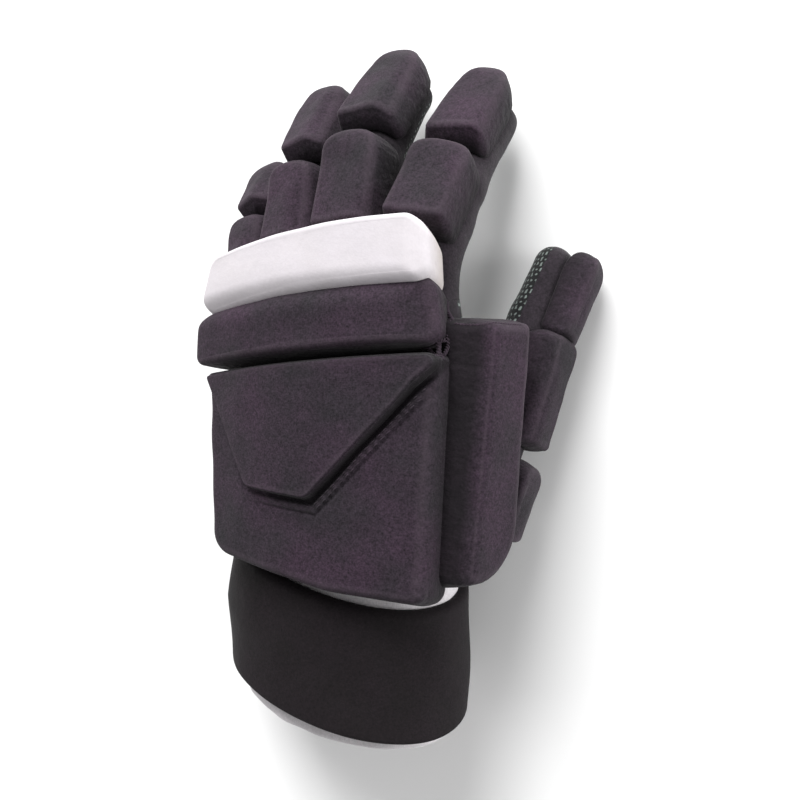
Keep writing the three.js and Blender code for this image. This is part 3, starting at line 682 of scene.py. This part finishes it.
def palm_side(points, normals):
    """How much each point is on the palm's side, and its place on the cloth, round and along the nearest finger; the
    hand counts as one wide finger along Y."""
    roll = radians(HAND_ROLL)
    best, across = np.ones(len(points)), points[:, :2]
    facing = normals @ np.array([sin(roll), 0, -cos(roll)])
    beyond_knuckles = points[:, 1] >= KNUCKLES_Y
    rows = np.arange(len(points))
    for name, line in LINES.items():
        thumb = name == "thumb"
        s = np.arange(14 if thumb else 8, line.total, 1.5)
        place, side, _, back = line.at(s)
        offset = points[:, None] - place[None]
        distance = np.linalg.norm(offset, axis=2)
        nearest = distance.argmin(1)
        close = distance[rows, nearest] / line.half[0]
        mine = (close < best * 1.6) & (close < 1.35 if thumb else beyond_knuckles)
        out = offset[rows, nearest]
        angle = np.arctan2((out * side[nearest]).sum(1), -(out * back[nearest]).sum(1))
        facing = np.where(mine, -(normals * back[nearest]).sum(1) + (THUMB_GRIP if thumb else 0), facing)
        across = np.where(mine[:, None], np.stack([angle * line.half[0], s[nearest]], 1), across)
        best = np.where(mine, close, best)
    return smooth_step(facing, GRIP_FROM, GRIP_TO), across


def spaced(path, step):
    """Points at even steps along a curve that runs softly through the given ones, and its direction at each."""
    given = np.array(path, float)
    for _ in range(3):
        middle = (given[:-1] * 3 + given[1:]) / 4, (given[:-1] + given[1:] * 3) / 4
        given = np.concatenate([given[:1], np.stack(middle, 1).reshape(-1, 3), given[-1:]])
    run = np.concatenate([[0], np.cumsum(np.linalg.norm(np.diff(given, axis=0), axis=1))])
    s = np.linspace(0, run[-1], max(3, int(run[-1] / step)))
    points = np.stack([np.interp(s, run, given[:, k]) for k in range(3)], 1)
    return points, unit(np.gradient(points, axis=0))


def laid_on(path, pieces, sink):
    """The path moved to the nearest places on the pieces and sunk in a little, then smoothed by a running mean, so
    that it crosses softly from one pad to the next."""
    trees = [BVHTree.FromPolygons([v.co[:] for v in piece.data.vertices],
                                  [tuple(face.vertices) for face in piece.data.polygons]) for piece in pieces]
    laid = []
    for point in to_row(path):
        place, normal, _, _ = min((tree.find_nearest(point.tolist()) for tree in trees), key=lambda hit: hit[3])
        laid.append(np.array(place) / MM - np.array(normal) * sink)
    laid = (np.array(laid) - HAND_ORIGIN) @ REST_TURN
    padded = np.pad(laid, ((SEAM_MEAN // 2, SEAM_MEAN // 2), (0, 0)), mode="edge")
    return np.stack([np.convolve(padded[:, k], np.ones(SEAM_MEAN) / SEAM_MEAN, "valid") for k in range(3)], 1)


def tube(middle, thick, aside, above, sides):
    """Rings of a thread round a line; aside and above are the two directions across it."""
    angle = circle(sides)[:, None]
    return middle[:, None] + thick[:, None, None] * (cos(angle) * aside[:, None] + sin(angle) * above[:, None])


def thread_piece(name, forms):
    """Threads as one piece, which lies at a single place on the cloth."""
    points, quads, caps = joined(forms)
    return dressed(mesh_object(name, to_row(points), quads, caps), np.zeros((quads.size + caps.size, 2)))


def twisted_seam(name, paths, radius, pieces, turn=2.2):
    """Twisted thread sewn over the pieces near given places: two plies wind round each path as helices."""
    forms = []
    for path in paths:
        centre = spaced(path, SEAM_STEP)[0]
        centre, along = spaced(laid_on(centre, pieces, radius * 0.2), SEAM_STEP)
        aside = unit(np.cross(along, (0.3, 0.1, 1.0)))
        above = np.cross(aside, along)
        s = np.arange(len(centre)) * SEAM_STEP
        thick = radius * 0.62 * np.minimum(1, 0.35 + np.minimum(s, s[-1] - s) / radius)
        for ply in (0, np.pi):
            a = (s / turn * 2 * np.pi + ply)[:, None]
            forms.append(tube(centre + radius * 0.5 * (cos(a) * aside + sin(a) * above), thick, aside, above, 8))
    return thread_piece(name, forms)


def stitch(centre, way, radius=0.24, length=2.1):
    """A sewn stitch: a short rod with its ends drawn down into the cloth."""
    share = np.linspace(-1, 1, 6)
    aside = unit(np.cross(way, (0.0, 0.0, 1.0)))[None]
    above = np.cross(aside, way)
    middle = centre + share[:, None] * way * length / 2 - above * (0.45 * share[:, None] ** 4)
    return tube(middle, radius * (1 - 0.3 * share ** 2), aside, above, 6)


def stitched_ledge():
    """Two rows of stitches on the ledge along the raised panel's slanted side."""
    forms = []
    low, high = np.array(SHIELD[2][:2], float), np.array(SHIELD[3][:2], float)
    length, way = np.linalg.norm(high - low), unit(high - low)
    for off in STITCH_ROWS:
        s = np.arange(1.0, length - 4.5, STITCH_EVERY)
        xy = low + s[:, None] * way + np.array([way[1], -way[0]]) * off
        xy = xy[xy[:, 0] < LEDGE_TO_X]
        near, far = (over_the_back(*q.T, back_top(*q.T) + 0.12) for q in (xy - way * 0.4, xy + way * 0.4))
        forms += [stitch(*both) for both in zip((near + far) / 2, unit(far - near))]
    return thread_piece("shield_stitches", forms)


def oval_band(name, table, profile, around=300, relief=0.0, wave=26, seed=1, step_at=None):
    """A closed band: the profile (share of the way along the sections, distance out) carried round the oval. relief
    is the height of soft dents about wave long, and step_at (angle, rise) a step where the band overlaps."""
    share, out = profile.T
    y = table[0, 0] + share * (table[-1, 0] - table[0, 0])
    rows = section_at(table, y)
    angle = circle(around)
    extra = np.broadcast_to(out[:, None], (len(out), around)).copy()
    if step_at is not None:
        turned = (angle - radians(step_at[0])) % (2 * np.pi)
        lap = smooth_step(turned, 0, 0.03) * (1 - smooth_step(turned, 0.75, 1.2))
        outer = smooth_step(out, out.min() + 0.6, out.max() - 1.0)
        extra += outer[:, None] * lap[None] * step_at[1]
    shape = dict(squareness=SQUARENESS["wrist"])
    grid = oval(rows[:, None], angle, **shape)
    ring = oval(rows[:, None], angle, extra, **shape)
    outward = grid - grid.mean(1, keepdims=True)
    outward[..., 1] = 0
    weight = smooth_step(out, out.min(), out.max())[:, None]
    ring = ring + unit(outward) * (relief * ripple(ring, wave, seed) * weight)[..., None]
    points = to_row(ring.reshape(-1, 3))
    quads = facing_out(points, ring_faces(len(rows), around, wrap=True))
    edge_step = np.linalg.norm(np.roll(ring, -1, 1) - ring, axis=2).mean(0)
    u = np.concatenate([[0], np.cumsum(edge_step)])
    v = np.concatenate([[0], np.cumsum(np.linalg.norm(np.diff(np.stack([y, out], 1), axis=0), axis=1))])
    v = np.append(v, v[-1] + 1)
    i, j = quads // around, quads % around
    wraps_j = (j == 0) & ((quads % around).max(1, keepdims=True) == around - 1)
    wraps_i = (i == 0) & ((quads // around).max(1, keepdims=True) == len(rows) - 1)
    cloth = np.stack([u[np.where(wraps_j, around, j)], v[np.where(wraps_i, len(rows), i)]], -1) * CLOTH_UV
    return dressed(mesh_object(name, points, quads), cloth)


def band_profile(low, high, length, radius, crown=0.0, steps=34):
    """A closed profile: a rounded bar from low to high, its edges arcs of radius, its outer side crowned."""
    r = radius / length
    corner = radians(np.linspace(0, 90, 8))
    outer = np.linspace(r, 1 - r, steps)
    rise = crown * sin(np.pi * (outer - r) / (1 - 2 * r))
    parts = [
        np.stack([outer, high + rise], 1),
        np.stack([1 - r + r * sin(corner[1:]), high - radius * (1 - cos(corner[1:]))], 1),
        np.stack([1 - r + r * cos(corner[:-1]), low + radius * (1 - sin(corner[:-1]))], 1),
        np.stack([outer[::-1], np.full(steps, low)], 1),
        np.stack([r - r * sin(corner[1:]), low + radius * (1 - cos(corner[1:]))], 1),
        np.stack([r - r * cos(corner[:-1]), high - radius * (1 - sin(corner[:-1]))], 1),
    ]
    return np.concatenate(parts)


# ================= Materials =================

def fill(tree, socket, value):
    """Links a socket to value if that is an output, and otherwise sets it."""
    if isinstance(value, bpy.types.NodeSocket):
        tree.links.new(value, socket)
    else:
        socket.default_value = value


def node(tree, kind, inputs=(), output=0, **settings):
    """A node with its settings and inputs (by name or number), and one of its outputs."""
    made = tree.nodes.new("ShaderNode" + kind)
    for key, value in settings.items():
        setattr(made, key, value)
    for key, value in dict(inputs).items():
        fill(tree, made.inputs[key], value)
    return made.outputs[output]


def calc(tree, operation, *values):
    """One step of arithmetic."""
    return node(tree, "Math", dict(enumerate(values)), operation=operation)


def noise(tree, place, scale, detail, roughness=0.5):
    """Soft noise from 0 to 1."""
    return node(tree, "TexNoise", {"Vector": place, "Scale": scale, "Detail": detail, "Roughness": roughness})


def ramp(tree, value, low, high, start=0.0, end=1.0):
    """From start to end while the value goes from low to high, and held there beyond."""
    return node(tree, "MapRange", {0: value, 1: low, 2: high, 3: start, 4: end})


def scaled(tree, colour, factor):
    """A colour times a number."""
    return node(tree, "VectorMath", {0: colour, "Scale": factor}, operation="SCALE")


def mix_colour(tree, share, a, b):
    """Colour a where share is 0 and b where it is 1; the sockets are picked by place, because their names repeat."""
    return node(tree, "Mix", {0: share, 6: a, 7: b}, output=2, data_type="RGBA")


SOCKET_KINDS = {type(None): "NodeSocketVector", float: "NodeSocketFloat", tuple: "NodeSocketColor"}


def shader_group(name, build, *outputs, **inputs):
    """A node group. An input is a vector, a number or a colour after its default: None, a float or a tuple; an output
    is a number, or a colour if it is called that."""
    group = bpy.data.node_groups.new(name, "ShaderNodeTree")
    for label, default in inputs.items():
        socket = group.interface.new_socket(label, in_out="INPUT", socket_type=SOCKET_KINDS[type(default)])
        if default is not None:
            socket.default_value = default
    for label in outputs:
        kind = SOCKET_KINDS[tuple if label == "colour" else float]
        group.interface.new_socket(label, in_out="OUTPUT", socket_type=kind)
    entry, end = group.nodes.new("NodeGroupInput"), group.nodes.new("NodeGroupOutput")
    for label, value in build(group, **{label: entry.outputs[label] for label in inputs}).items():
        group.links.new(value, end.inputs[label])
    return group


def threads(tree, place, scale):
    """Fine threads that cross: noise drawn out along the cloth's width, and noise drawn out along its length."""
    layers = []
    for long_way in ((1.0, 0.2, 1.0), (0.2, 1.0, 1.0)):
        drawn = node(tree, "VectorMath", {0: place, 1: long_way}, operation="MULTIPLY")
        layers.append(noise(tree, drawn, scale, 2.0, 0.65))
    return {"height": calc(tree, "MULTIPLY", calc(tree, "ADD", *layers), 0.5)}


def heather(tree, place, colour, other, clouds, specks, strength):
    """Cloth colour: two tints in soft clouds, darkened and lightened by fine specks of two sizes."""
    tint = mix_colour(tree, ramp(tree, noise(tree, place, clouds, 3.0, 0.6), 0.35, 0.65), colour, other)
    light = 1.0
    for size, share in ((1.0, 1.0), (0.45, 0.6)):
        fine = noise(tree, place, calc(tree, "MULTIPLY", specks, size), 1.0)
        centred = calc(tree, "MULTIPLY", calc(tree, "SUBTRACT", fine, 0.5), share)
        light = calc(tree, "MULTIPLY_ADD", centred, strength, light)
    return {"colour": scaled(tree, tint, calc(tree, "MAXIMUM", light, 0.1))}


def seam_puckers(tree, place, edge, gathers):
    """Small gathers near a sewn edge, how far down the wall a point is (the mask of the walls' painted shade), and the
    rim of the top (the mask of a lighter tint). The edge value is the distance in from the top's edge in millimetres,
    and it is negative on the wall; on pads it is lowered where shade is painted into a groove."""
    folds = noise(tree, place, gathers, 2.0)
    from_rim = calc(tree, "ABSOLUTE", calc(tree, "ADD", edge, 0.6))
    return {"height": calc(tree, "MULTIPLY", folds, ramp(tree, edge, 1.0, -5.0)),
            "depth": ramp(tree, edge, -1.5, -13.0),
            "rim": calc(tree, "MULTIPLY", ramp(tree, from_rim, 0.0, 2.2, 1.0, 0.0), folds)}


def grip_dots(tree, place, rows):
    """Rows of raised dots, each second row shifted by half: the distance to the nearest place of a lattice."""
    x, y = (node(tree, "SeparateXYZ", {0: place}, output=k) for k in (0, 1))
    row = calc(tree, "MULTIPLY", y, rows)
    shift = calc(tree, "MULTIPLY", calc(tree, "MODULO", calc(tree, "FLOOR", row), 2.0), 0.5)
    column = calc(tree, "ADD", calc(tree, "MULTIPLY", x, rows), shift)
    dx, dy = (calc(tree, "SUBTRACT", calc(tree, "FRACT", value), 0.5) for value in (column, row))
    away = calc(tree, "SQRT", calc(tree, "ADD", calc(tree, "MULTIPLY", dx, dx), calc(tree, "MULTIPLY", dy, dy)))
    return {"dot": ramp(tree, away, 0.30, 0.18)}


GROUPS = {
    "threads": shader_group("Crossing threads", threads, "height", place=None, scale=300.0),
    "heather": shader_group("Heather", heather, "colour", place=None, colour=(0.05, 0.05, 0.05, 1.0),
                            other=(0.06, 0.05, 0.06, 1.0), clouds=40.0, specks=1500.0, strength=0.5),
    "puckers": shader_group("Seam puckers", seam_puckers, "height", "depth", "rim", place=None, edge=0.0,
                            gathers=300.0),
    "grip": shader_group("Grip dots", grip_dots, "dot", place=None, rows=40.0),
}


def use_group(tree, name, **inputs):
    """One of the shared effects, with its inputs by name, and its outputs by name."""
    made = tree.nodes.new("ShaderNodeGroup")
    made.node_tree = GROUPS[name]
    for label, value in inputs.items():
        fill(tree, made.inputs[label], value)
    return made.outputs


def linear(red, green, blue):
    """A colour given as 0 to 255, for the shader."""
    c = np.array([red, green, blue]) / 255
    return (*np.where(c <= 0.04045, c / 12.92, ((c + 0.055) / 1.055) ** 2.4).tolist(), 1.0)


def principled(name, values):
    """A new material and its shader, with fixed values."""
    material = bpy.data.materials.new(name)
    material.use_nodes = True
    shader = material.node_tree.nodes["Principled BSDF"]
    for label, value in values.items():
        shader.inputs[label].default_value = value
    return material, shader


def dyed(name, roughness, sheen, colour, other, clouds, specks, speck_strength):
    """A new material, its tree and shader, the place on the piece and the two-tint colour of the cloth there."""
    material, shader = principled(name, {"Roughness": roughness, "Sheen Weight": sheen, "Sheen Roughness": 0.5,
                                         "Specular IOR Level": 0.18})
    tree = material.node_tree
    place = node(tree, "TexCoord", output="Object")
    tint = use_group(tree, "heather", place=place, colour=colour, other=other, clouds=clouds, specks=specks,
                     strength=speck_strength)["colour"]
    return material, tree, shader, place, tint


def point_value(tree, name):
    """A value stored on the piece's points."""
    return node(tree, "Attribute", output="Fac", attribute_name=name)


def finished(material, shader, tint, *layers):
    """The material with its colour and relief: heights laid over one another, each with the depth in metres that 0 to
    1 stands for."""
    tree, before = material.node_tree, {}
    for height, depth in layers:
        normal = node(tree, "Bump", {"Strength": 1.0, "Distance": depth, "Height": height, **before})
        before = {"Normal": normal}
    tree.links.new(normal, shader.inputs["Normal"])
    tree.links.new(tint, shader.inputs["Base Color"])
    return material


def knit_material(name, colour, other, roughness, specks=1500.0, speck_strength=1.8, sheen=0.05, has_edge=False,
                  painted_shade=None, rim_tint=None):
    """Fine stretch knit over foam or on its own, with puckers at sewn edges where the piece has an edge value. There
    it also gets painted shade down its walls and in grooves, and a lighter tint at the rim of its top.
    """
    material, tree, shader, place, tint = dyed(name, roughness, sheen, colour, other, 30.0, specks, speck_strength)
    cloth = node(tree, "UVMap", uv_map="cloth")
    thread = use_group(tree, "threads", place=cloth, scale=330.0)["height"]
    shade = ramp(tree, thread, 0.3, 0.7, 0.8, 1.2)
    tint = scaled(tree, tint, shade)
    layers = [(noise(tree, place, 90.0, 3.0), 0.0006), (thread, 0.00016)]
    if has_edge:
        pucker = use_group(tree, "puckers", place=place, edge=point_value(tree, "edge"), gathers=260.0)
        # a lighter tint near the rim of the top, mottled by the gathers
        tint = mix_colour(tree, calc(tree, "MULTIPLY", pucker["rim"], 0.5), tint, rim_tint)
        # painted shade: the cloth darkens down the walls and where the edge value marks a groove
        tint = mix_colour(tree, calc(tree, "MULTIPLY", pucker["depth"], 0.8), tint, painted_shade)
        layers.insert(0, (pucker["height"], 0.0009))
    return finished(material, shader, tint, *layers)


def leather_material(name, colour, other, painted_shade):
    """White synthetic leather: fine pebble grain, faint warm clouds, and painted shade that turns it grey down its
    walls.
    """
    material, tree, shader, place, tint = dyed(name, 0.5, 0.05, colour, other, 22.0, 900.0, 0.1)
    pucker = use_group(tree, "puckers", place=place, edge=point_value(tree, "edge"), gathers=220.0)
    # painted shade: grey towards the bottom of the walls
    tint = mix_colour(tree, calc(tree, "MULTIPLY", pucker["depth"], 0.5), tint, painted_shade)
    grain = node(tree, "TexVoronoi", {"Vector": place, "Scale": 1400.0}, feature="F1")
    return finished(material, shader, tint, (pucker["height"], 0.0005), (noise(tree, place, 60.0, 3.0), 0.0004),
                    (grain, 0.00002))


def hand_material(name, colour, other, grip_colour, dot_colour):
    """Grey stretch mesh, with a dark gripping face dotted with small light beads on the palm's side."""
    material, tree, shader, place, tint = dyed(name, 0.82, 0.12, colour, other, 35.0, 1300.0, 1.6)
    cloth = node(tree, "UVMap", uv_map="cloth")
    loop = use_group(tree, "threads", place=cloth, scale=330.0)["height"]
    side = ramp(tree, point_value(tree, "grip"), 0.45, 0.55)
    dot = calc(tree, "MULTIPLY", use_group(tree, "grip", place=cloth, rows=42.0)["dot"], side)
    tint = mix_colour(tree, dot, mix_colour(tree, side, tint, grip_colour), dot_colour)
    tree.links.new(calc(tree, "SUBTRACT", 0.85, calc(tree, "MULTIPLY", dot, 0.35)), shader.inputs["Roughness"])
    return finished(material, shader, tint, (noise(tree, place, 120.0, 3.0), 0.0008), (loop, 0.00025), (dot, 0.0003))


MATERIALS = {
    # The pads' cloth: its dark extra colour is painted shade for walls and grooves, its light one a lighter tint at
    # the rims of the tops.
    "pad_fabric": knit_material("charcoal_knit", linear(50, 37, 49), linear(37, 33, 38), 0.85, has_edge=True,
                                painted_shade=linear(14, 11, 14), rim_tint=linear(72, 62, 70)),
    "strap_fabric": knit_material("brown_black_knit", linear(27, 21, 25), linear(22, 18, 20), 0.8, sheen=0.02,
                                  speck_strength=1.2),
    "cuff_fabric": knit_material("white_knit", linear(214, 210, 213), linear(208, 204, 207), 0.8, specks=900.0,
                                 speck_strength=0.12),
    # the white leather's third colour is painted shade for its walls
    "white_leather": leather_material("white_leather", linear(200, 195, 200), linear(197, 192, 195),
                                      linear(170, 160, 148)),
    "sleeve_fabric": hand_material("grey_mesh", linear(38, 31, 38), linear(33, 28, 33), linear(22, 23, 24),
                                   linear(112, 122, 118)),
}


# ================= Putting the glove together =================

def in_place(piece, slot, *nodes, pad=None):
    """The piece rides on the glove, takes the slot's material and stands for its CAD nodes, if it has any."""
    piece.data.materials.clear()
    piece.data.materials.append(MATERIALS[slot])
    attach(piece, "root")
    if nodes:
        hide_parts(*nodes)
    return piece


hand = in_place(fabric_hand(), "sleeve_fabric", "palm_and_back", *(f"{name}_sleeve" for name in SLEEVES))
for name in FINGER_PADS:
    in_place(finger_pad(name), "pad_fabric", name, pad=FOAM_FILL)
block = in_place(back_pad(), "pad_fabric", "back_pad", pad=FOAM_FILL)
panel = in_place(shield_pad(), "pad_fabric", "shield_pad", pad=FOAM_FILL)
bar, _ = (in_place(knuckle_bar(name), slot, name, pad=FOAM_FILL)
          for name, slot in (("dark_knuckle_bar", "pad_fabric"), ("white_knuckle_bar", "white_leather")))
side = in_place(side_pad(), "pad_fabric", "thumb_side_pad", pad=FOAM_FILL)
cuff_profile = band_profile(low=-2.0, high=0.0, length=52.0, radius=1.0, crown=0.2)
cuff = in_place(oval_band("cuff_knit", CUFF, cuff_profile, relief=0.55, wave=13, seed=2), "cuff_fabric", "cuff")
strap_profile = band_profile(low=0.5, high=5.4, length=46.0, radius=2.4, crown=0.5)
in_place(oval_band("wrist_strap_foam", STRAP, strap_profile, relief=0.45, seed=6, step_at=(250, 0.9)),
         "strap_fabric", "wrist_strap", pad=STRAP_FILL)

in_place(twisted_seam("thumb_side_seam", [SEAM, *KNOT], 0.75, [block, bar, side, panel]), "pad_fabric")
in_place(twisted_seam("side_pad_seam", [SIDE_SEAM], 0.45, [side]), "pad_fabric")
in_place(stitched_ledge(), "pad_fabric")


# ================= Floor, light and camera =================

def studio():
    """A plain pale floor, a big soft light over the camera's left, a weaker one on the right, and a pale sky."""
    floor = mesh_object("floor", np.array([(-3, -3, 0), (3, -3, 0), (3, 3, 0), (-3, 3, 0)]), [(0, 1, 2, 3)])
    material, _ = principled("pale_floor", {"Base Color": (0.92, 0.92, 0.92, 1), "Roughness": 0.9,
                                            "Specular IOR Level": 0.1})
    floor.data.materials.append(material)

    world = bpy.data.worlds.new("sky")
    world.use_nodes = True
    sky = world.node_tree.nodes["Background"].inputs
    sky["Color"].default_value, sky["Strength"].default_value = (1, 1, 1, 1), 0.45
    bpy.context.scene.world = world
    for name, place, size, power in (("key", (-0.3, 1.6, 1.2), 1.4, 74.0), ("side", (1.6, 0.0, 0.42), 0.8, 18.0)):
        light = bpy.data.lights.new(name, "AREA")
        light.size, light.energy = size, power
        lamp = in_scene(name, light)
        lamp.location = place
        lamp.rotation_euler = (Vector((0, 0, 0.03)) - Vector(place)).to_track_quat("-Z", "Y").to_euler()


def photograph_camera():
    """The camera of the photograph: its axes are found in the hand's frame and turned with the hand."""
    a, e = radians(CAMERA_AZIMUTH), radians(CAMERA_ELEVATION)
    back = np.array([sin(a) * cos(e), sin(e), cos(a) * cos(e)])
    right = np.array([cos(a), 0.0, -sin(a)])
    axes = REST_TURN @ np.stack([right, np.cross(back, right), back], 1)
    eye = (REST_TURN @ (AIM + CAMERA_DISTANCE * back) + HAND_ORIGIN) * MM
    camera = bpy.data.cameras.new("camera")
    camera.lens, camera.sensor_width = LENS, SENSOR
    camera.clip_start, camera.clip_end = 0.02, 20
    holder = in_scene("camera", camera)
    holder.matrix_world = Matrix.Translation(eye.tolist()) @ Matrix(axes.tolist()).to_4x4()
    bpy.context.scene.camera = holder


studio()
photograph_camera()
bpy.context.scene.view_settings.view_transform = "Standard"
